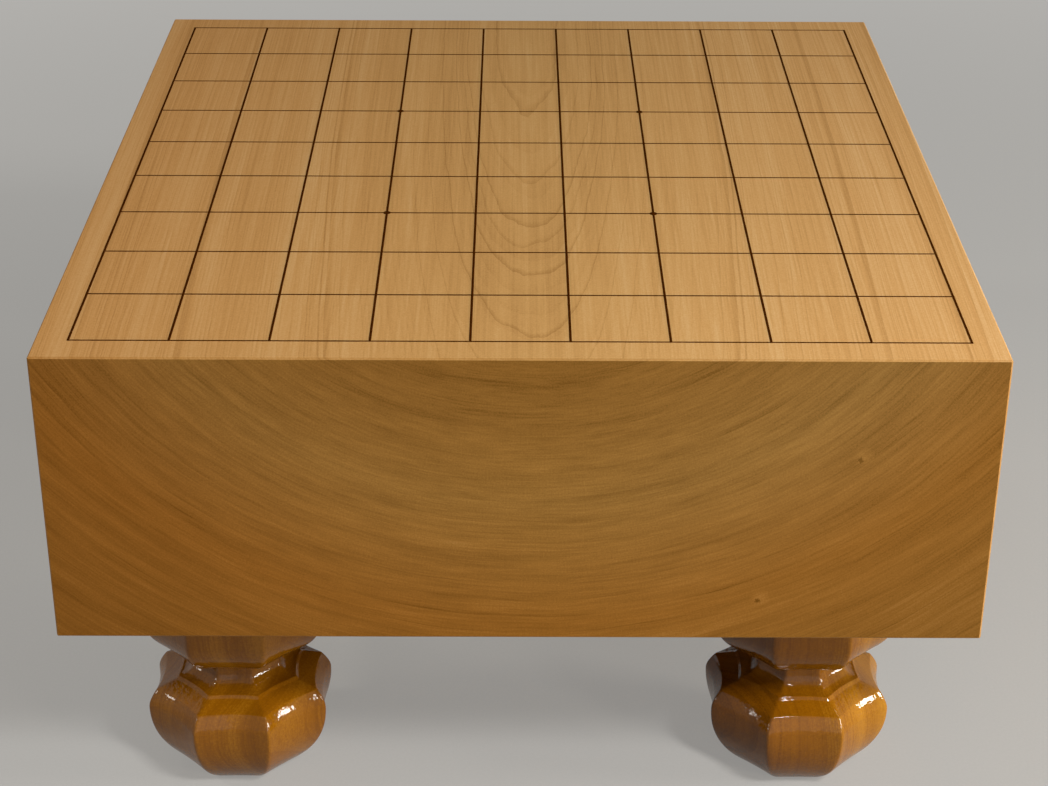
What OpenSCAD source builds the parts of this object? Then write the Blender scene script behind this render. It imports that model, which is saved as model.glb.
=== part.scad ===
// Legged shogi board: a solid block of wood on four carved legs, with a lacquered grid.
// Millimetres. X runs across the board, Y runs away from the player, Z is up from the floor.
// The origin is on the floor, under the middle of the board.

/* [Squares] */
// Width of one square, across the board
square_w = 34.4; // [28:0.1:45]
// Length of one square, from player to player
square_l = 37.5; // [28:0.1:48]
// Bare wood between the grid and each side of the board
side_margin = 11.7; // [6:0.1:30]
// Bare wood between the grid and each player's end of the board
end_margin = 13.25; // [6:0.05:30]

/* [Block] */
// Thickness of the block
block_t = 112.5; // [60:0.5:180]
// Fine chamfer planed along every outer edge of the block
edge_chamfer = 0.6; // [0.2:0.1:3]

/* [Lacquer] */
// Width of a grid line
line_w = 1; // [0.6:0.1:2]
// Height of a crosswise line above the wood
crosswise_line_h = 0.25; // [0.1:0.05:0.5]
// How far a lengthwise line stands above the crosswise lines that it crosses
lengthwise_rise = 0.15; // [0.1:0.05:0.5]
// Diameter of a star point
star_d = 3; // [2.2:0.1:5]
// How far a star point stands above the lengthwise lines
star_rise = 0.15; // [0.1:0.05:0.5]

/* [Leg places] */
// From a side of the board to the axis of a leg
leg_inset_side = 57; // [42:0.5:75]
// From a player's end of the board to the axis of a leg
leg_inset_end = 56; // [42:0.5:75]

/* [Leg carving] */
// Flat of the foot that stands on the floor, across flats
foot_w = 38; // [24:0.5:56]
// Widest part of the bulb, across flats
bulb_w = 69.2; // [60:0.2:80]
// Height of the bulb's widest part above the floor
bulb_h = 29; // [18:0.5:45]
// Radius of the shoulder that rounds the top of the bulb
shoulder_r = 10.6; // [6:0.1:13]
// Height of the small step on top of the shoulder
step_h = 1.2; // [0.6:0.1:4]
// How far the small step slopes inwards
step_set = 1; // [0.4:0.1:3]
// Radius of the cove between the small step and the neck
cove_r = 7; // [3:0.5:9]
// Height of the straight neck
neck_h = 4.7; // [1:0.1:15]
// Height of the rounded bowl under the collar
bowl_h = 18.5; // [8:0.5:30]
// Collar that bears on the block, across flats
collar_w = 69.4; // [60:0.2:80]
// Height of the collar's upright rim
rim_h = 19; // [4:0.5:40]

/* [Leg joints] */
// Diameter of the round tenon on top of a leg
tenon_d = 30; // [16:0.5:40]
// Length of the tenon
tenon_l = 32; // [16:0.5:44]
// Gap between the tenon and the wall of its mortise
tenon_clearance = 0.05; // [0.02:0.01:0.09]
// Room left above the tenon, so that the collar seats first
mortise_end_room = 2; // [0.5:0.5:5]
// Bevel that leads the tenon into its mortise
tenon_bevel = 1.2; // [0.4:0.1:3]

/* [Navel] */
// Side of the square mouth of the navel, in the underside of the block
navel_w = 84; // [60:0.5:110]
// Depth of the navel
navel_depth = 24; // [10:0.5:40]
// How far each wall of the navel slopes inwards
navel_slope = 16; // [4:0.5:24]
// Height of the four-sided peak that stands in the navel
peak_h = 15; // [3:0.5:22]

/* [Hidden] */
squares = 9;
star_lines = [3, 6];
facet_step = 45;
arc_steps = 9;

grid_w = squares * square_w;
grid_l = squares * square_l;
block_w = grid_w + 2 * side_margin;
block_l = grid_l + 2 * end_margin;

// Leg heights, each level standing on the one below it
shoulder_top = bulb_h + shoulder_r;
step_top = shoulder_top + step_h;
neck_bottom = step_top + cove_r;
neck_top = neck_bottom + neck_h;
bowl_top = neck_top + bowl_h;
leg_h = bowl_top + rim_h;
block_top = leg_h + block_t;

// Leg half widths, each moulding set in from the one below it
foot_half = foot_w / 2;
bulb_half = bulb_w / 2;
shoulder_half = bulb_half - shoulder_r;
step_half = shoulder_half - step_set;
neck_half = step_half - cove_r;
collar_half = collar_w / 2;
leg_span = 1.5 * max(bulb_w, collar_w);

leg_x = block_w / 2 - leg_inset_side;
leg_y = block_l / 2 - leg_inset_end;
// How far the tenon's round runs down inside the collar that it grows out of
tenon_root = rim_h / 2;
mortise_d = tenon_d + 2 * tenon_clearance;
mortise_depth = tenon_l + mortise_end_room;

lengthwise_line_h = crosswise_line_h + lengthwise_rise;
star_h = lengthwise_line_h + star_rise;

// A cut reaches this far past the face that it opens
cut_past = 1;

corner_names = ["front_left", "front_right", "rear_left", "rear_right"];
corners = [[-1, -1], [1, -1], [-1, 1], [1, 1]];
leg_names = [for (c = corner_names) str("leg_", c)];
star_names = [for (c = corner_names) str("star_point_", c)];
crosswise_names = [for (i = [0:squares]) str("crosswise_line_", i + 1)];
lengthwise_names = [for (i = [0:squares]) str("lengthwise_line_", i + 1)];
$fn = 64;

block_wood = "#C69C62";
leg_wood = "#A8672A";
lacquer = "#1B1512";

// Places of the grid lines, counted from the left side and from the front end
function file_x(i) = -grid_w / 2 + i * square_w;
function rank_y(i) = -grid_l / 2 + i * square_l;

// Line that carries the star points on one side of the middle
function star_line(side) = side < 0 ? star_lines[0] : star_lines[1];

// Points on an arc of an ellipse around a centre, with half axes rx and rz, between two angles.
// An arc that carries straight on from another one leaves out the point that they share.
function arc(centre, rx, rz, from, to, carries_on = false) = [
  for (k = [carries_on ? 1 : 0:arc_steps])
    let (a = from + (to - from) * k / arc_steps)
      centre + [rx * cos(a), rz * sin(a)]
];

// Radius of the circle that leaves the foot's edge and is upright at the bulb's widest part
bulge = bulb_half - foot_half;
bulge_r = (bulge * bulge + bulb_h * bulb_h) / (2 * bulge);
bulge_angle = asin(bulb_h / bulge_r);

// Right-hand half of a leg's outline, from the floor up
leg_side = concat(
  arc([bulb_half - bulge_r, bulb_h], bulge_r, bulge_r, -bulge_angle, 0),
  arc([shoulder_half, bulb_h], shoulder_r, shoulder_r, 0, 90, carries_on = true),
  arc([step_half, neck_bottom], cove_r, cove_r, 270, 180),
  arc([neck_half, bowl_top], collar_half - neck_half, bowl_h, -90, 0),
  [[collar_half, leg_h]]
);

module leg_outline() {
  mirrored = [for (k = [len(leg_side) - 1:-1:0]) [-leg_side[k][0], leg_side[k][1]]];
  polygon(concat(leg_side, mirrored));
}

// Octagonal carving: the same outline sawn from four directions
module leg_carving() {
  intersection_for (a = [0:facet_step:180 - facet_step])
    rotate([90, 0, a])
      linear_extrude(height = leg_span, center = true)
        leg_outline();
}

// Round tenon with a bevelled end, standing on height 0 and rooted in the wood below it
module tenon() {
  r = tenon_d / 2;
  rotate_extrude()
    polygon([
      [0, -tenon_root], [r, -tenon_root], [r, tenon_l - tenon_bevel],
      [r - tenon_bevel, tenon_l], [0, tenon_l]
    ]);
}

// One leg, carved with its tenon from a single piece
module leg(corner) {
  color(leg_wood)
    translate([corner[0] * leg_x, corner[1] * leg_y, 0]) {
      leg_carving();
      translate([0, 0, leg_h])
        tenon();
    }
}

// Rectangle around the origin with its four corners cut at 45 degrees
module chamfered_rectangle(w, h) {
  x = w / 2;
  y = h / 2;
  c = edge_chamfer;
  polygon([
    [x - c, -y], [x, -y + c], [x, y - c], [x - c, y],
    [-x + c, y], [-x, y - c], [-x, -y + c], [-x + c, -y]
  ]);
}

module chamfered_block() {
  intersection() {
    linear_extrude(height = block_t, center = true)
      chamfered_rectangle(block_w, block_l);
    rotate([90, 0, 0])
      linear_extrude(height = block_l, center = true)
        chamfered_rectangle(block_w, block_t);
    rotate([90, 0, 90])
      linear_extrude(height = block_w, center = true)
        chamfered_rectangle(block_l, block_t);
  }
}

// Square solid with sloping sides: an outline seen from the front and from the side alike
module four_sided(points) {
  intersection_for (a = [0, 90])
    rotate([90, 0, a])
      linear_extrude(height = 2 * navel_w, center = true)
        polygon(points);
}

// Space of the navel, opening downwards at height 0, with the peak left standing in it
module navel() {
  mouth = navel_w / 2;
  floor_half = mouth - navel_slope;
  past = cut_past * navel_slope / navel_depth;
  difference() {
    four_sided([
      [-mouth - past, -cut_past], [mouth + past, -cut_past],
      [floor_half, navel_depth], [-floor_half, navel_depth]
    ]);
    four_sided([
      [0, navel_depth - peak_h], [floor_half, navel_depth],
      [floor_half, navel_depth + cut_past], [-floor_half, navel_depth + cut_past],
      [-floor_half, navel_depth]
    ]);
  }
}

module board_block() {
  color(block_wood)
    difference() {
      translate([0, 0, leg_h + block_t / 2])
        chamfered_block();
      translate([0, 0, leg_h])
        navel();
      for (corner = corners)
        translate([corner[0] * leg_x, corner[1] * leg_y, leg_h - cut_past])
          cylinder(d = mortise_d, h = mortise_depth + cut_past);
    }
}

// Strip of lacquer on the top face, around a point, of a given size
module strip(at, size) {
  translate([at[0] - size[0] / 2, at[1] - size[1] / 2, block_top])
    cube(size);
}

module crosswise_strip(i) {
  strip([0, rank_y(i)], [grid_w + line_w, line_w, crosswise_line_h]);
}

module lengthwise_strip(i) {
  strip([file_x(i), 0], [line_w, grid_l + line_w, lengthwise_line_h]);
}

// Crosswise line, laid first, straight on the wood
module crosswise_line(i) {
  color(lacquer)
    crosswise_strip(i);
}

// Lengthwise line, laid second, bridging the crosswise lines
module lengthwise_line(i) {
  color(lacquer)
    difference() {
      lengthwise_strip(i);
      for (k = [0:squares])
        crosswise_strip(k);
    }
}

// Star point, a dot of lacquer laid last on the crossing of two lines
module star_point(corner) {
  file = star_line(corner[0]);
  rank = star_line(corner[1]);
  color(lacquer)
    difference() {
      translate([file_x(file), rank_y(rank), block_top])
        cylinder(d = star_d, h = star_h);
      lengthwise_strip(file);
      crosswise_strip(rank);
    }
}

board_block();
for (i = [0:3]) {
  leg(corners[i]);
  star_point(corners[i]);
}
for (i = [0:squares]) {
  crosswise_line(i);
  lengthwise_line(i);
}
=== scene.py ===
import math
from types import SimpleNamespace

import bmesh
import bpy
import numpy as np
from mathutils import Matrix, Vector


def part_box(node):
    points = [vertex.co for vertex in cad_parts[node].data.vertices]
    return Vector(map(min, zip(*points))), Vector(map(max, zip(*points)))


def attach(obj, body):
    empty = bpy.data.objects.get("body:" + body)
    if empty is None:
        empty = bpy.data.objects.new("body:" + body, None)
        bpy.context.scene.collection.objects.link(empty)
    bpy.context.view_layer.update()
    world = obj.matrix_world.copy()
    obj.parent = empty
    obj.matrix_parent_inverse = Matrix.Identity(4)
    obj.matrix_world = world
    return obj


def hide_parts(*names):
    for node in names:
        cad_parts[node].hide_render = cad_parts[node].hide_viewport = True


# The frame
# A legged shogi board: one block of wood, four carved legs plugged into its underside, and a grid
# of lacquer on top. Places that the solids hold are read from their boxes.
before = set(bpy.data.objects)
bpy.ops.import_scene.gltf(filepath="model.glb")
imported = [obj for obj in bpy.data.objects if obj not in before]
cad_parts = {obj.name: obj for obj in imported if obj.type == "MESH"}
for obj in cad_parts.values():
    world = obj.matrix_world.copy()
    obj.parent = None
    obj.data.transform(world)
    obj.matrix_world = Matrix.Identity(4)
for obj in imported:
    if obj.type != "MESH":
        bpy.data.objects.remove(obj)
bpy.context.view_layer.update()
MM = 0.001
block_low, block_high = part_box("board_block")


# The view
# The photograph looks along the board from the near player's side, a little from above, with a
# longish lens. Its focal length in pixels, place and turn were solved from the board's own edges.
photo_width_px = 1048
focal_px = 2215.4
pitch_down, yaw_right, roll = (math.radians(a) for a in (27.56, 0.279, 0.315))
board_top = Vector((0, 0, block_high.z))
view_from = board_top + Vector((-2.0, -849.2, 335.3)) * MM
camera_data = bpy.data.cameras.new("camera")
camera_data.sensor_width = 36
camera_data.lens = camera_data.sensor_width * focal_px / photo_width_px
camera = bpy.data.objects.new("camera", camera_data)
turn = (
    Matrix.Rotation(-yaw_right, 4, "Z")
    @ Matrix.Rotation(math.pi / 2 - pitch_down, 4, "X")
    @ Matrix.Rotation(roll, 4, "Z")
)
camera.matrix_world = Matrix.Translation(view_from) @ turn
bpy.context.scene.collection.objects.link(camera)
bpy.context.scene.camera = camera


# The legs
# Each leg is carved from one piece of gardenia wood like a ribbed gardenia fruit: a bulb foot, a small
# step, a cove and neck, and a bowl under an upright collar, with eight facets scooped hollow between
# crisp ridges. Its round tenon plugs into the block. Rubbed smooth, under clear glossy lacquer.
corners = ("front_left", "front_right", "rear_left", "rear_right")

# Sizes that the solid leg has too, in millimetres
leg_h = block_low.z / MM
tenon_h = (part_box("leg_front_left")[1].z - block_low.z) / MM
foot_half, bulb_half, collar_half, tenon_half = 19, 34.6, 34.7, 15
bulb_h, shoulder_r, step_h, step_set, cove_r, neck_h, bowl_h = 29, 10.6, 1.2, 1, 7, 4.7, 18.5
tenon_bevel = 1.2
neck_bottom = bulb_h + shoulder_r + step_h + cove_r
neck_top = neck_bottom + neck_h
facets = 8
half_facet = math.pi / facets

# The carver's finer work, in millimetres and, for the turns, degrees
foot_gouge_r, bulb_gouge_r, collar_gouge_r = 150, 52, 110
belly_r, belly_turn, brow_r, brow_turn = 8, 24, 22, 38
ridge_r = 1.1
crease_r = 0.2
foot_ease_r = 8
ripple_depth, ripple_fade = 0.05, 4


def arc(cx, cz, rx, rz, start, stop, points=60):
    """Points on an ellipse around a centre, from one angle to another in degrees, as rows (r, z)."""
    a = np.radians(np.linspace(start, stop, points))
    return np.stack([cx + rx * np.cos(a), cz + rz * np.sin(a)], axis=1)


def leg_profile():
    """Half outline through the middle of a flat facet, from the middle of the foot up to the middle of
    the tenon's end: arcs and straights. The bulb turns in over a tight and a flat arc to a crease,
    and the shoulder above is planed flat. The foot's edge is rounded over, and every other corner is
    eased by a running mean over the crease radius."""
    shoulder_half = bulb_half - shoulder_r
    step_half = shoulder_half - step_set
    neck_half = step_half - cove_r
    bowl_top = neck_top + bowl_h
    tenon_top = leg_h + tenon_h
    bulge = bulb_half - foot_half
    bulge_r = (bulge**2 + bulb_h**2) / (2 * bulge)
    bulge_angle = math.asin(bulb_h / bulge_r)
    foot_turn = math.pi / 2 - bulge_angle
    ease = foot_ease_r * math.tan(foot_turn / 2)
    eased_angle = math.degrees(bulge_angle - ease / bulge_r)
    brow_x = bulb_half - belly_r - (brow_r - belly_r) * math.cos(math.radians(belly_turn))
    brow_z = bulb_h - (brow_r - belly_r) * math.sin(math.radians(belly_turn))
    outline = np.concatenate([
        [[0, 0]],
        arc(foot_half - ease, foot_ease_r, foot_ease_r, foot_ease_r, -90, math.degrees(foot_turn) - 90),
        arc(bulb_half - bulge_r, bulb_h, bulge_r, bulge_r, -eased_angle, 0),
        arc(bulb_half - belly_r, bulb_h, belly_r, belly_r, 0, belly_turn),
        arc(brow_x, brow_z, brow_r, brow_r, belly_turn, brow_turn),
        [[shoulder_half, bulb_h + shoulder_r]],
        arc(step_half, neck_bottom, cove_r, cove_r, 270, 180),
        arc(neck_half, bowl_top, collar_half - neck_half, bowl_h, -90, 0),
        [[collar_half, leg_h], [tenon_half, leg_h], [tenon_half, tenon_top - tenon_bevel]],
        [[tenon_half - tenon_bevel, tenon_top], [0, tenon_top]],
    ])
    fine_step = 0.03
    length = np.concatenate([[0], np.cumsum(np.hypot(*np.diff(outline, axis=0).T))])
    even = np.arange(0, length[-1], fine_step)
    fine = np.stack([np.interp(even, length, column) for column in outline.T], axis=1)
    reach = int(2 * crease_r / fine_step)
    window = np.hanning(2 * reach + 3)[1:-1]
    window /= window.sum()
    padded = np.pad(fine, ((reach, reach), (0, 0)), mode="edge")
    return np.stack([np.convolve(column, window, "valid") for column in padded.T], axis=1)


def spaced_levels(line, longest=1.6, largest_turn=0.14):
    """Picks points along a line so that neighbours lie no further apart than a length or a turn."""
    step = np.diff(line, axis=0)
    heading = np.unwrap(np.arctan2(step[:, 1], step[:, 0]))
    turning = np.abs(np.diff(heading, prepend=heading[0]))
    cost = np.concatenate([[0], np.cumsum(np.hypot(*step.T) / longest + turning / largest_turn)])
    wanted = np.linspace(0, cost[-1], int(cost[-1]) + 2)
    return np.stack([np.interp(wanted, cost, column) for column in line.T], axis=1)


def hollow_facet(r, offset, gouge_r):
    """Distance from the leg's axis to a facet, at an angle from the facet's middle: the facet is an
    arc of the gouge's radius, curved away from the leg, through the two ridges of a flat octagon."""
    gouge_axis = r + np.sqrt(gouge_r**2 - (r * math.tan(half_facet)) ** 2)
    reach = gouge_r**2 - (gouge_axis * np.sin(offset)) ** 2
    return gouge_axis * np.cos(offset) - np.sqrt(np.clip(reach, 0, None))


def carved_leg(centre, seed):
    """Points around the leg at each level of the profile, closer together towards the ridges. Two
    neighbouring facets meet in a smooth minimum, which rounds their ridge, up to a share of the leg's
    radius. The tenon is round. Slow ripples keep the facets hand-cut."""
    points_per_facet, crowding = 18, 2.4
    ridge_share, roundness = 0.06, 0.4
    r, z = np.split(spaced_levels(leg_profile()), 2, axis=1)
    t = np.linspace(-1, 1, points_per_facet + 1)[None, :-1]
    offset = np.tile(np.sign(t) * (1 - (1 - np.abs(t)) ** crowding) * half_facet, facets)
    theta = offset + np.repeat(np.arange(facets), points_per_facet) * 2 * half_facet
    gouge_r = np.interp(
        z, [0, bulb_h, neck_bottom, neck_top], [foot_gouge_r, bulb_gouge_r, bulb_gouge_r, collar_gouge_r],
    )
    own = hollow_facet(r, offset, gouge_r)
    beside = hollow_facet(r, np.abs(offset) - 2 * half_facet, gouge_r)
    softness = roundness * np.clip(ridge_share * r, 1e-6, ridge_r)
    ridged = own - softness * np.log1p(np.exp((own - beside) / softness))
    ripple = (
        np.sin(3 * theta + seed) * np.sin(z / 5.1 + 2 * seed)
        + np.sin(5 * theta - 2 * seed) * np.sin(z / 3.3 + seed)
    )
    carved = np.clip((leg_h - z) / ripple_fade, 0, 1) * np.clip(z / ripple_fade, 0, 1)
    on_tenon = (z > leg_h - crease_r) & (r <= tenon_half + crease_r)
    radius = np.where(on_tenon, r, ridged + ripple_depth * ripple * carved)
    radius = np.where(r < 0.01, 0, radius)
    x, y = radius * np.cos(theta), radius * np.sin(theta)
    return np.stack([centre.x + x * MM, centre.y + y * MM, np.broadcast_to(z * MM, x.shape)], axis=-1)


def solid_mesh(name, points):
    """Closed mesh of a grid of points, rows by columns: quads between neighbours, the columns closed
    into rings, and a row that is a single point drawn together into a pole."""
    rows, columns = points.shape[:2]
    index = np.arange(rows * columns).reshape(rows, columns)
    beside = np.roll(index, -1, axis=1)
    quads = np.stack([index[:-1], beside[:-1], beside[1:], index[1:]], axis=-1).reshape(-1, 4)
    mesh = bpy.data.meshes.new(name)
    mesh.from_pydata(points.reshape(-1, 3).tolist(), [], quads.tolist())
    merged = bmesh.new()
    merged.from_mesh(mesh)
    bmesh.ops.remove_doubles(merged, verts=merged.verts, dist=1e-7)
    bmesh.ops.recalc_face_normals(merged, faces=merged.faces)
    merged.to_mesh(mesh)
    merged.free()
    mesh.polygons.foreach_set("use_smooth", np.ones(len(mesh.polygons), bool))
    return mesh


def add_piece(name, mesh, material):
    """A new object at the origin, with its place in its mesh."""
    piece = bpy.data.objects.new(name, mesh)
    mesh.materials.append(material)
    bpy.context.scene.collection.objects.link(piece)
    return piece


def linear(hex_colour):
    """An sRGB hex colour as linear red, green, blue and alpha."""
    s = np.array([int(hex_colour[k:k + 2], 16) for k in (1, 3, 5)]) / 255
    lin = np.where(s <= 0.04045, s / 12.92, ((s + 0.055) / 1.055) ** 2.4)
    return (*lin.tolist(), 1.0)


def add(tree, kind, inputs=None, stops=(), **settings):
    """Adds one shader node with its settings. Inputs are values, or nodes or sockets to link from, and
    a ramp's stops are pairs of place and hex colour."""
    made = tree.nodes.new("ShaderNode" + kind)
    for name, value in settings.items():
        setattr(made, name, value)
    for key, value in (inputs or {}).items():
        if isinstance(value, bpy.types.Node):
            value = value.outputs[0]
        if isinstance(value, bpy.types.NodeSocket):
            tree.links.new(value, made.inputs[key])
        else:
            made.inputs[key].default_value = value
    if stops:
        elements = made.color_ramp.elements
        while len(elements) < len(stops):
            elements.new(0.5)
        for element, (place, colour) in zip(elements, stops):
            element.position = place
            element.color = linear(colour)
    return made


def mixed_tone(tree, start, *shares):
    """A starting tone plus shares of patterns: each share is a pattern and how strongly it counts."""
    tone = start
    for pattern, strength in shares:
        tone = add(tree, "Math", {0: pattern, 1: strength, 2: tone}, operation="MULTIPLY_ADD")
    return tone


def growth_lines(tree, from_pith, year, sharpness, evenness):
    """Dark ends of the yearly rings: each year darkens outwards, late and steeply where sharpness is
    high, and then ends at once. Years differ in width, and in strength from the evenness up to 1.
    Distances are in millimetres."""
    reach = 4 * year
    uneven = add(tree, "TexNoise", {
        "W": from_pith, "Scale": 1 / reach, "Detail": 1.0,
    }, noise_dimensions="1D")
    stretched = add(tree, "Math", {0: uneven, 1: reach, 2: from_pith}, operation="MULTIPLY_ADD")
    years = add(tree, "Math", {0: stretched, 1: 1 / year}, operation="MULTIPLY")
    ripening = add(tree, "Math", {0: years}, operation="FRACT")
    late = add(tree, "Math", {0: ripening, 1: sharpness}, operation="POWER")
    count = add(tree, "Math", {0: years}, operation="FLOOR")
    chance = add(tree, "TexWhiteNoise", {"W": count}, noise_dimensions="1D")
    strength = add(tree, "MapRange", {"Value": chance.outputs["Value"], "To Min": evenness})
    return add(tree, "Math", {0: late, 1: strength.outputs["Result"]}, operation="MULTIPLY")


def new_material(name):
    """An empty node material with its output and a principled shader linked to it."""
    material = bpy.data.materials.new(name)
    material.use_nodes = True
    tree = material.node_tree
    tree.nodes.clear()
    shader = add(tree, "BsdfPrincipled")
    add(tree, "OutputMaterial", {"Surface": shader})
    return material, tree, shader


def gardenia_wood(name, centre, pith, sapwood_and_painted_light):
    """Gardenia, a dense fine wood, under clear lacquer: deep amber brown with faint growth lines that
    stand upright on the facets and bend into contours where a facet faces away from the pith. Some
    legs turn paler outwards, into paler outer wood; on the front right leg that paleness is also
    painted light on its right side, towards the lamps on the right, and painted shade on its front.
    The lacquer gives a hard gloss with a slight ripple, so that highlights break up."""
    sway_reach, leg_half = 5, 35
    material, tree, shader = new_material(name)
    coordinates = add(tree, "TexCoord")
    place = add(tree, "Mapping", {
        "Vector": coordinates.outputs["Object"],
        "Scale": (1 / MM,) * 3,
        "Location": (-(centre.x / MM + pith[0]), -(centre.y / MM + pith[1]), 0),
        "Rotation": (0.05, 0.04, 0),
    })
    sway = add(tree, "TexNoise", {"Vector": place, "Scale": 1 / 40, "Detail": 1.0})
    swayed = add(tree, "VectorMath", {
        0: sway.outputs["Color"], 1: (sway_reach, sway_reach, 0), 2: place,
    }, operation="MULTIPLY_ADD")
    flat = add(tree, "VectorMath", {0: swayed, 1: (1, 1, 0)}, operation="MULTIPLY")
    from_pith = add(tree, "VectorMath", {0: flat}, operation="LENGTH").outputs["Value"]
    lines = growth_lines(tree, from_pith, year=1.1, sharpness=2.5, evenness=0.0)
    axis_from_pith = math.hypot(*pith)
    outward = add(tree, "MapRange", {
        "Value": from_pith, "To Min": -1.0,
        "From Min": axis_from_pith - leg_half, "From Max": axis_from_pith + leg_half,
    })
    bands = add(tree, "TexNoise", {"W": from_pith, "Scale": 1 / 7, "Detail": 3.0}, noise_dimensions="1D")
    fine = add(tree, "VectorMath", {0: place, 1: (1 / 0.5, 1 / 0.5, 1 / 14)}, operation="MULTIPLY")
    fibre = add(tree, "TexNoise", {"Vector": fine, "Scale": 1.0, "Detail": 2.0})
    cloud = add(tree, "TexNoise", {"Vector": place, "Scale": 1 / 25, "Detail": 1.0})
    # Pores are far too fine to show: drawn as a speckle of almost a millimetre
    speckle = add(tree, "TexNoise", {"Vector": place, "Scale": 1 / 0.8, "Detail": 1.0})
    # Paler away from the pith: paler outer wood, and on the front right leg painted light on its right side
    # and painted shade on its front
    tone = mixed_tone(
        tree, -0.09, (lines, -0.2), (bands, 0.35), (fibre, 0.3), (cloud, 0.25), (speckle, 0.35),
        (outward.outputs["Result"], sapwood_and_painted_light),
    )
    colour = add(tree, "ValToRGB", {"Fac": tone}, [(0.0, "#5A3202"), (0.5, "#7E4C05"), (1.0, "#A67118")])
    grain = add(tree, "Bump", {"Height": fibre, "Strength": 0.15, "Distance": 0.05 * MM})
    # Brushed lacquer ripples at about half a millimetre: drawn coarser, so that they show
    wave = add(tree, "TexNoise", {"Vector": place, "Scale": 1 / 1.5, "Detail": 1.0})
    ripple = add(tree, "Bump", {"Height": wave, "Strength": 1.0, "Distance": 0.1 * MM})
    tree.links.new(colour.outputs["Color"], shader.inputs["Base Color"])
    tree.links.new(grain.outputs["Normal"], shader.inputs["Normal"])
    tree.links.new(ripple.outputs["Normal"], shader.inputs["Coat Normal"])
    shader.inputs["Roughness"].default_value = 0.45
    shader.inputs["Specular IOR Level"].default_value = 0.0
    shader.inputs["Coat Weight"].default_value = 0.7
    shader.inputs["Coat Roughness"].default_value = 0.05
    shader.inputs["Coat IOR"].default_value = 1.45
    return material


# Where the tree's pith lay from each leg's axis, across and along the board in millimetres, and how
# much paler the leg grows away from it. On the front right leg the paleness is partly paler wood and
# partly painted light on the side towards the lamps on the right, with painted shade on its front.
pith_from_axis = {
    "front_left": (-72, 26), "front_right": (-66, -46), "rear_left": (70, 30), "rear_right": (-66, -35),
}
sapwood_and_painted_light = {"front_left": 0.0, "front_right": 0.47, "rear_left": 0.1, "rear_right": 0.2}
for seed, corner in enumerate(corners):
    node = "leg_" + corner
    low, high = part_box(node)
    axis = (low + high) / 2
    wood = gardenia_wood("lacquered_gardenia_" + corner, axis, pith_from_axis[corner], sapwood_and_painted_light[corner])
    mesh = solid_mesh("carved_" + node, carved_leg(axis, 1.3 * seed + 0.4))
    leg = add_piece("carved_" + node, mesh, wood)
    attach(leg, node)
    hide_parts(node)


# The block
# One thick plank of straight-grained wood with its pith above the board, so the growth rings hang as
# wide arcs on the two end faces, run straight along the top near its sides and close into arches
# along its middle. Planed, scraped and waxed to a low satin; the ends drink more wax.

# Where the pith lies at the near end, how it sinks towards the far end, how far the rings sway and jag,
# and the radius at which they are unrolled, in millimetres
pith_at_front = Vector((4, block_low.y / MM, block_high.z / MM + 103))
pith_slope, pith_bend = 0.05, 0.00007
sway_reach, jag_reach = 2.5, 0.5
unrolled_r = 150.0

# The arches on top: each late year's distance from the pith in millimetres, and how dark it is
late_years = (
    (95.2, 0.8), (96.9, 0.6), (98.35, 1.0), (99.07, 0.6), (100.1, 1.0), (102.3, 0.9), (104.7, 0.7),
    (107.2, 0.7),
)
late_year_width = 0.2

# Pin knots in the near end: how far right of the middle and below the top, in millimetres
pin_knots = ((117.7, 38.8), (85, 96.3))

# A Mix node's colour sockets share their names with its other sockets, so they go by number
MIX_FIRST, MIX_SECOND, MIX_RESULT = 6, 7, 2


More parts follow.
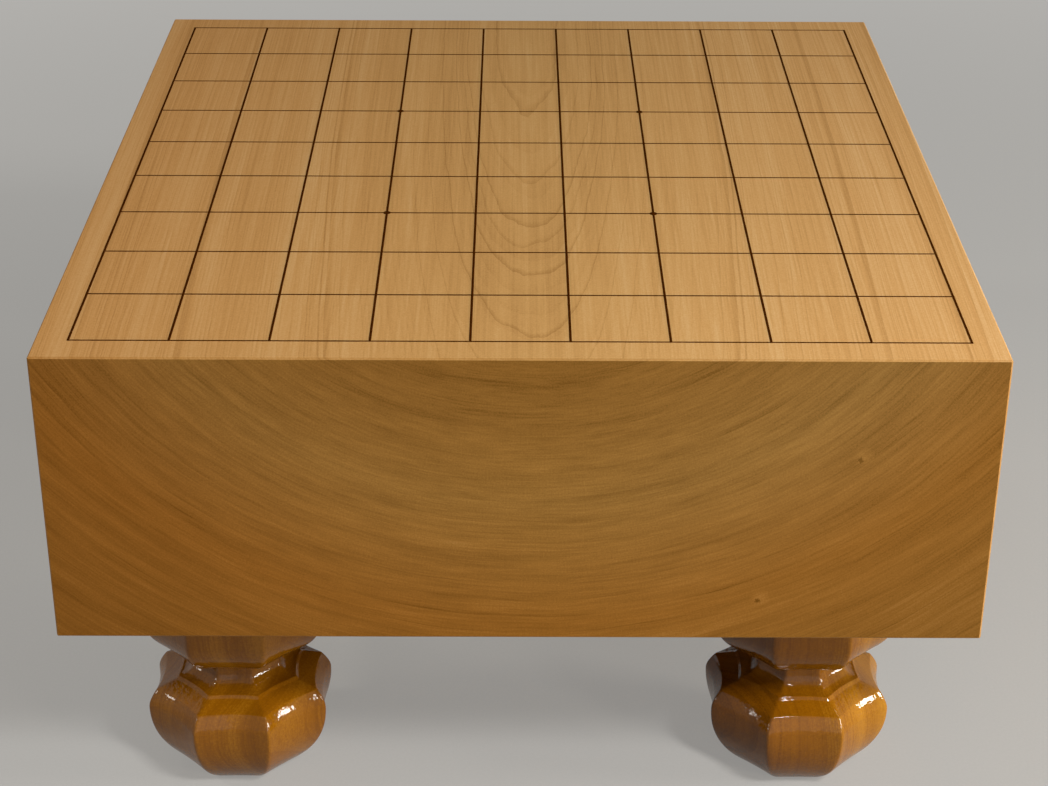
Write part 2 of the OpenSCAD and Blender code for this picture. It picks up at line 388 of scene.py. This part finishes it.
def plank_grain(tree, coordinates):
    """The growth that every face of the block cuts through: distances from the pith, the rings unrolled
    into a strip, and the patterns that follow them. The pith sinks towards the far end, less and less,
    so the arches on top grow narrower."""
    drift = Vector((sway_reach, 0, sway_reach - jag_reach)) / 2
    from_front = add(tree, "Mapping", {
        "Vector": coordinates.outputs["Object"],
        "Scale": (1 / MM,) * 3,
        "Location": -pith_at_front - drift,
    })
    place = add(tree, "SeparateXYZ", {0: from_front})
    slope = add(tree, "Math", {
        0: place.outputs["Y"], 1: -pith_bend, 2: pith_slope,
    }, operation="MULTIPLY_ADD")
    below = add(tree, "Math", {
        0: place.outputs["Y"], 1: slope, 2: place.outputs["Z"],
    }, operation="MULTIPLY_ADD")
    across = add(tree, "CombineXYZ", {"X": place.outputs["X"], "Z": below})
    slow = add(tree, "VectorMath", {0: from_front, 1: (1 / 50, 1 / 170, 1 / 50)}, operation="MULTIPLY")
    sway = add(tree, "TexNoise", {"Vector": slow, "Scale": 1.0, "Detail": 2.0})
    swayed = add(tree, "VectorMath", {
        0: sway.outputs["Color"], 1: (sway_reach, 0, sway_reach), 2: across,
    }, operation="MULTIPLY_ADD")
    smooth_distance = add(tree, "VectorMath", {0: swayed}, operation="LENGTH").outputs["Value"]
    torn = add(tree, "VectorMath", {0: from_front, 1: (1 / 9, 1 / 20, 1 / 9)}, operation="MULTIPLY")
    jag = add(tree, "TexNoise", {"Vector": torn, "Scale": 1.0, "Detail": 3.0})
    from_pith = add(tree, "Math", {0: jag, 1: jag_reach, 2: smooth_distance}, operation="MULTIPLY_ADD")
    bearing = add(tree, "Math", {0: below, 1: place.outputs["X"]}, operation="ARCTAN2")
    along_ring = add(tree, "Math", {0: bearing, 1: unrolled_r}, operation="MULTIPLY")
    unrolled = add(tree, "CombineXYZ", {"X": along_ring, "Y": from_pith})
    years = growth_lines(tree, from_pith, year=1.2, sharpness=3.0, evenness=0.3)
    bands = add(tree, "TexNoise", {"W": from_pith, "Scale": 1 / 14, "Detail": 2.0}, noise_dimensions="1D")
    wide = add(tree, "VectorMath", {0: unrolled, 1: (1 / 50, 1 / 7, 0)}, operation="MULTIPLY")
    cloud = add(tree, "TexNoise", {"Vector": wide, "Scale": 1.0, "Detail": 1.0}, noise_dimensions="2D")
    fine = add(tree, "VectorMath", {0: from_front, 1: (1 / 0.7, 1 / 60, 1 / 0.7)}, operation="MULTIPLY")
    fibre = add(tree, "TexNoise", {"Vector": fine, "Scale": 1.0, "Detail": 2.0})
    # Pores are far too fine to show: drawn as a speckle of over half a millimetre
    speckle = add(tree, "TexNoise", {"Vector": from_front, "Scale": 1 / 0.6, "Detail": 1.0})
    rightward = add(tree, "MapRange", {"Value": place.outputs["X"], "From Min": -150.0, "From Max": 150.0})
    return SimpleNamespace(
        from_front=from_front, smooth_distance=smooth_distance, from_pith=from_pith, unrolled=unrolled,
        years=years, bands=bands, cloud=cloud, fibre=fibre, speckle=speckle,
        rightward=rightward.outputs["Result"], height=place.outputs["Z"],
    )


def side_colour(tree, grain):
    """Top, sides and underside: honey tan with fine yearly lines, long fibre streaks, the thin and
    slightly torn late years of the arches, and a darker tint towards the left, which is partly a more
    red tint of the wood and partly painted shade on the side away from the lamps on the right."""
    outer = add(tree, "MapRange", {
        "Value": grain.smooth_distance, "From Min": 106.0, "From Max": 122.0, "To Min": 0.3,
    })
    side_years = add(tree, "Math", {0: grain.years, 1: outer.outputs["Result"]}, operation="MULTIPLY")
    long = add(tree, "VectorMath", {0: grain.from_front, 1: (1 / 5, 1 / 260, 1 / 5)}, operation="MULTIPLY")
    streak = add(tree, "TexNoise", {"Vector": long, "Scale": 1.0, "Detail": 3.0})
    tone = mixed_tone(
        tree, -0.27, (side_years, -0.26), (grain.bands, 0.2), (grain.cloud, 0.12), (grain.fibre, 0.4),
        (streak, 0.35), (grain.speckle, 0.35), (outer.outputs["Result"], 0.12),
    )
    for distance, strength in late_years:
        ripening = add(tree, "MapRange", {
            "Value": grain.from_pith, "From Min": distance - late_year_width, "From Max": distance,
        })
        ended = add(tree, "Math", {0: grain.from_pith, 1: distance}, operation="GREATER_THAN")
        late = add(tree, "Math", {0: ripening, 1: ended}, operation="SUBTRACT")
        tone = mixed_tone(tree, tone, (late, -0.26 * strength))
    wood = add(tree, "ValToRGB", {"Fac": tone}, [(0.0, "#9A6D3B"), (0.5, "#C6965D"), (1.0, "#DDB786")])
    # Towards the left the wood turns more red, and painted shade darkens it, away from the lamps on the
    # right
    sideways_tint_and_shade = add(tree, "ValToRGB", {"Fac": grain.rightward}, [
        (0.0, "#F2EADA"), (0.5, "#F4F6EE"), (1.0, "#FFFFFB"),
    ])
    redder_and_shaded_left = add(tree, "Mix", {
        "Factor": 1.0, MIX_FIRST: wood.outputs["Color"], MIX_SECOND: sideways_tint_and_shade.outputs["Color"],
    }, data_type="RGBA", blend_type="MULTIPLY")
    return redder_and_shaded_left.outputs[MIX_RESULT]


def end_colour(tree, coordinates, grain):
    """End grain: a deeper golden brown with short strokes along the rings, years that fade in and out,
    broad streaks and a more orange stain far from the pith, faint rays, and two pin knots with a pale
    patch above them. It grows a little paler towards the bottom, and towards the right it is painted
    darker and less red: painted shade that offsets the lamps on the right."""
    outward = add(tree, "MapRange", {"Value": grain.smooth_distance, "From Min": 100.0, "From Max": 250.0})
    broad = add(tree, "VectorMath", {0: grain.unrolled, 1: (1 / 55, 1 / 4.5, 0)}, operation="MULTIPLY")
    streaks = add(tree, "TexNoise", {"Vector": broad, "Scale": 1.0, "Detail": 2.0}, noise_dimensions="2D")
    outer_streaks = add(tree, "Math", {0: streaks, 1: outward.outputs["Result"]}, operation="MULTIPLY")
    short = add(tree, "VectorMath", {0: grain.unrolled, 1: (1 / 12, 1 / 0.8, 0)}, operation="MULTIPLY")
    strokes = add(tree, "TexNoise", {"Vector": short, "Scale": 1.0, "Detail": 2.0}, noise_dimensions="2D")
    crossing = add(tree, "VectorMath", {0: grain.unrolled, 1: (1 / 0.6, 1 / 8, 0)}, operation="MULTIPLY")
    rays = add(tree, "TexNoise", {"Vector": crossing, "Scale": 1.0, "Detail": 1.0}, noise_dimensions="2D")
    lengthy = add(tree, "VectorMath", {0: grain.unrolled, 1: (1 / 45, 1 / 5, 0)}, operation="MULTIPLY")
    fade = add(tree, "TexNoise", {"Vector": lengthy, "Scale": 1.0, "Detail": 1.0}, noise_dimensions="2D")
    showing = add(tree, "MapRange", {"Value": fade, "From Min": 0.35, "From Max": 0.65})
    wide_years = growth_lines(tree, grain.from_pith, year=2.3, sharpness=3.0, evenness=0.1)
    rings = add(tree, "Math", {0: wide_years, 1: grain.years}, operation="ADD")
    shown_rings = add(tree, "Math", {0: rings, 1: showing.outputs["Result"]}, operation="MULTIPLY")
    tone = mixed_tone(
        tree, -0.49, (shown_rings, -0.18), (strokes, 0.36), (grain.cloud, 0.2), (rays, 0.08),
        (grain.speckle, 0.45), (outer_streaks, 0.5), (outward.outputs["Result"], -0.25),
        (grain.height, -0.0019),
    )
    for x, depth in pin_knots:
        knot = Vector((x * MM, block_low.y, block_high.z - depth * MM))
        away = add(tree, "VectorMath", {0: coordinates.outputs["Object"], 1: knot}, operation="DISTANCE")
        ragged = add(tree, "Math", {
            0: grain.speckle, 1: 1.6 * MM, 2: away.outputs["Value"],
        }, operation="MULTIPLY_ADD")
        dark = add(tree, "MapRange", {
            "Value": ragged, "From Min": 1.0 * MM, "From Max": 2.0 * MM, "To Min": 1.0, "To Max": 0.0,
        })
        patch = knot + Vector((1, 0, 1.5)) * MM
        beside = add(tree, "VectorMath", {0: coordinates.outputs["Object"], 1: patch}, operation="DISTANCE")
        pale = add(tree, "MapRange", {
            "Value": beside.outputs["Value"], "From Min": 0.5 * MM, "From Max": 4.0 * MM,
            "To Min": 1.0, "To Max": 0.0,
        })
        tone = mixed_tone(tree, tone, (dark, -0.8), (pale, 0.2))
    wood = add(tree, "ValToRGB", {"Fac": tone}, [(0.0, "#6E4B21"), (0.5, "#926835"), (1.0, "#AF8454")])
    stain = add(tree, "ValToRGB", {"Fac": outward.outputs["Result"]}, [
        (0.0, "#EDE6D8"), (0.4, "#FFFFFF"), (0.73, "#F4E0BE"), (1.0, "#E8D6B4"),
    ])
    stained = add(tree, "Mix", {
        "Factor": 1.0, MIX_FIRST: wood.outputs["Color"], MIX_SECOND: stain.outputs["Color"],
    }, data_type="RGBA", blend_type="MULTIPLY")
    # Painted shade: darker and less red towards the right, offsetting the lamps on the right
    sideways_tint_and_shade = add(tree, "ValToRGB", {"Fac": grain.rightward}, [
        (0.0, "#FFFEF1"), (0.5, "#FBFFF0"), (1.0, "#F0FBFF"),
    ])
    deeper = add(tree, "Mix", {
        "Factor": 1.0, MIX_FIRST: stained.outputs[MIX_RESULT], MIX_SECOND: sideways_tint_and_shade.outputs["Color"],
    }, data_type="RGBA", blend_type="MULTIPLY")
    return deeper.outputs[MIX_RESULT]


def board_wood():
    """Katsura, planed and waxed, which gives a low satin: honey tan along the grain, and a deeper golden
    brown on the ends, which show where the surface faces along the board."""
    material, tree, shader = new_material("waxed_katsura")
    coordinates = add(tree, "TexCoord")
    grain = plank_grain(tree, coordinates)
    facing = add(tree, "SeparateXYZ", {0: coordinates.outputs["Normal"]})
    endwise = add(tree, "Math", {0: facing.outputs["Y"]}, operation="ABSOLUTE")
    is_end = add(tree, "MapRange", {"Value": endwise, "From Min": 0.5, "From Max": 0.9})
    colour = add(tree, "Mix", {
        "Factor": is_end.outputs["Result"],
        MIX_FIRST: side_colour(tree, grain),
        MIX_SECOND: end_colour(tree, coordinates, grain),
    }, data_type="RGBA")
    bump = add(tree, "Bump", {"Height": grain.fibre, "Strength": 0.2, "Distance": 0.06 * MM})
    tree.links.new(colour.outputs[MIX_RESULT], shader.inputs["Base Color"])
    tree.links.new(bump.outputs["Normal"], shader.inputs["Normal"])
    shader.inputs["Roughness"].default_value = 0.5
    shader.inputs["Specular IOR Level"].default_value = 0.01
    return material


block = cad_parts["board_block"]
block.data.materials.clear()
block.data.materials.append(board_wood())


# The grid lines
# Ten lines across the board and ten along it, in thick black lacquer that stands proud of the wood with
# a rounded back. The crosswise ones are laid first, and the fuller lengthwise ones run over them. As the
# lacquer cures, it shrinks to these shares of the width and height that it was laid to.
lines_each_way = 10
cured_widths, cured_height = (0.82, 0.9), 0.5
dome_fullness = 0.8
waver_share = 0.025


def lacquer_line(node, along):
    """A low dome on a flat base, carried along a line: a half ellipse across, which wavers by a few
    hundredths along the line as a hand-laid one does, and closes to a blunt round end at both ends."""
    end_points, points_along, points_across = 7, 140, 11
    low, high = (np.array(c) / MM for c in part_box(node))
    across = 1 - along
    middle, size = (low + high) / 2, high - low
    blunt = size[across] / 2
    near_end = blunt * (1 - np.cos(np.linspace(0, np.pi / 2, end_points)))
    between = np.linspace(blunt, size[along] - blunt, points_along)[1:-1]
    s = np.concatenate([near_end, between, size[along] - near_end[::-1]])
    to_end = np.clip(np.minimum(s, size[along] - s) / blunt, 0, 1)
    closing = np.sqrt(1 - (1 - to_end) ** 2)
    waver = np.sin(s / 13 + middle[across]) * np.sin(s / 4.7 + 2 * middle[across])
    breadth = (closing * cured_widths[along] * (1 + waver_share * waver))[:, None]
    a = np.linspace(0, np.pi, points_across)[None, :]
    points = np.empty((s.size, a.size, 3))
    points[..., along] = low[along] + s[:, None]
    points[..., across] = middle[across] + breadth * size[across] / 2 * np.cos(a)
    points[..., 2] = low[2] + closing[:, None] * cured_height * size[2] * np.sin(a) ** dome_fullness
    return points * MM


def grid_lacquer():
    """Black lacquer with a trace of brown, dulled by use, with faint marks of being pulled along."""
    material, tree, shader = new_material("raised_black_lacquer")
    coordinates = add(tree, "TexCoord")
    place = add(tree, "Mapping", {"Vector": coordinates.outputs["Object"], "Scale": (1 / MM,) * 3})
    pull = add(tree, "TexNoise", {"Vector": place, "Scale": 1 / 1.5, "Detail": 2.0})
    colour = add(tree, "ValToRGB", {"Fac": pull}, [(0.3, "#361802"), (0.7, "#462204")])
    bump = add(tree, "Bump", {"Height": pull, "Strength": 0.2, "Distance": 0.05 * MM})
    tree.links.new(colour.outputs["Color"], shader.inputs["Base Color"])
    tree.links.new(bump.outputs["Normal"], shader.inputs["Normal"])
    shader.inputs["Roughness"].default_value = 0.6
    shader.inputs["Specular IOR Level"].default_value = 0.0
    return material


lacquer = grid_lacquer()
for along, direction in enumerate(("crosswise", "lengthwise")):
    for count in range(1, lines_each_way + 1):
        node = f"{direction}_line_{count}"
        name = f"{direction}_lacquer_{count}"
        line = add_piece(name, solid_mesh(name, lacquer_line(node, along)), lacquer)
        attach(line, "board")
        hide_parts(node)


# The star points
# Four dots of the same lacquer, dropped on crossings of the lines to mark the promotion zones. They are
# laid last, over both lines, and cure to a low dome.


def lacquer_dot(node):
    """A drop on a flat base: its height falls from the middle to the rim as a flattened half circle."""
    rings, points_around = 9, 32
    low, high = (np.array(c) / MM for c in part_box(node))
    middle, size = (low + high) / 2, high - low
    a = np.linspace(0, np.pi / 2, rings)[:, None]
    radius = np.concatenate([[[0]], size[0] / 2 * np.cos(a)])
    rise = np.concatenate([[[0]], cured_height * size[2] * np.sin(a) ** dome_fullness])
    theta = np.linspace(0, 2 * np.pi, points_around + 1)[None, :-1]
    x, y = radius * np.cos(theta), radius * np.sin(theta)
    return np.stack([middle[0] + x, middle[1] + y, low[2] + rise + 0 * theta], axis=-1) * MM


for corner in corners:
    node = "star_point_" + corner
    name = "star_dot_" + corner
    dot = add_piece(name, solid_mesh(name, lacquer_dot(node)), lacquer)
    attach(dot, "board")
    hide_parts(node)


# The studio
# A plain pale floor under soft light: a lamp high in front on the right, small ones low at both sides
# that rake over the legs, a broad one low in front, weak ones high on the left and behind, and a faint
# even grey all round. To the camera and in reflections, the floor and the world beyond glow pale.
floor_half = 8.0
pale_grey = linear("#D2D0CC")
ambient_grey = (0.08, 0.08, 0.08, 1)
warm_white = "#FFFAF0"


def seen_rays(tree):
    """One for rays from the camera and in reflections, and nothing for the light that falls on things."""
    path = add(tree, "LightPath")
    seen = path.outputs["Is Camera Ray"]
    for ray in ("Is Glossy Ray", "Is Transmission Ray"):
        seen = add(tree, "Math", {0: seen, 1: path.outputs[ray]}, operation="MAXIMUM")
    return seen


def pale_paper():
    """Pale matt paper that takes the shadow and, where it is only seen, glows more and more with distance
    from the board."""
    material, tree, shader = new_material("pale_paper")
    place = add(tree, "TexCoord").outputs["Object"]
    # Paper fibres are too fine to show: drawn as flecks of about a millimetre
    fleck = add(tree, "TexNoise", {"Vector": place, "Scale": 0.9 / MM, "Detail": 2.0})
    colour = add(tree, "ValToRGB", {"Fac": fleck}, [(0.3, "#999793"), (0.7, "#9E9C98")])
    tree.links.new(colour.outputs["Color"], shader.inputs["Base Color"])
    shader.inputs["Roughness"].default_value = 0.85
    shader.inputs["Specular IOR Level"].default_value = 0.1
    from_board = add(tree, "VectorMath", {0: place}, operation="LENGTH").outputs["Value"]
    far_off = add(tree, "MapRange", {
        "Value": from_board, "From Min": 0.2, "From Max": 2.0, "To Min": 0.4, "To Max": 0.9,
    }, interpolation_type="SMOOTHSTEP")
    share = add(tree, "Math", {0: far_off.outputs["Result"], 1: seen_rays(tree)}, operation="MULTIPLY")
    glow = add(tree, "Emission", {"Color": pale_grey})
    surface = add(tree, "MixShader", {0: share, 1: shader, 2: glow})
    tree.links.new(surface.outputs[0], tree.nodes["Material Output"].inputs["Surface"])
    return material


floor_mesh = bpy.data.meshes.new("floor")
floor_corners = [(x * floor_half, y * floor_half, 0) for x, y in ((-1, -1), (1, -1), (1, 1), (-1, 1))]
floor_mesh.from_pydata(floor_corners, [], [(0, 1, 2, 3)])
floor = add_piece("floor", floor_mesh, pale_paper())


def soft_lamp(name, place, size, watts, colour="#FFFFFF"):
    """A square lamp that faces the middle of the board."""
    data = bpy.data.lights.new(name, "AREA")
    data.size = size
    data.energy = watts
    data.color = linear(colour)[:3]
    lamp = bpy.data.objects.new(name, data)
    towards = board_top - Vector(place)
    facing = towards.to_track_quat("-Z", "Y").to_matrix().to_4x4()
    lamp.matrix_world = Matrix.Translation(Vector(place)) @ facing
    bpy.context.scene.collection.objects.link(lamp)


soft_lamp("high_lamp", (0.42, -0.7, 0.78), 0.16, 8.6)
soft_lamp("low_right_lamp", (1.05, -0.3, 0.27), 0.22, 8, warm_white)
soft_lamp("low_right_front_lamp", (0.8, -0.88, 0.38), 0.16, 3.5, warm_white)
soft_lamp("low_left_lamp", (-1.05, -0.3, 0.3), 0.13, 0.9, warm_white)
soft_lamp("low_front_lamp", (0.3, -1.5, 0.3), 1.2, 2.5)
soft_lamp("left_lamp", (-1.05, -0.3, 0.9), 0.09, 3, warm_white)
soft_lamp("back_lamp", (-0.6, 1.2, 1.3), 0.6, 4)
world = bpy.data.worlds.new("even_grey")
world.use_nodes = True
sky = add(world.node_tree, "Mix", {
    "Factor": seen_rays(world.node_tree), MIX_FIRST: ambient_grey, MIX_SECOND: pale_grey,
}, data_type="RGBA")
world.node_tree.links.new(sky.outputs[MIX_RESULT], world.node_tree.nodes["Background"].inputs["Color"])
bpy.context.scene.world = world
bpy.context.scene.view_settings.view_transform = "Standard"
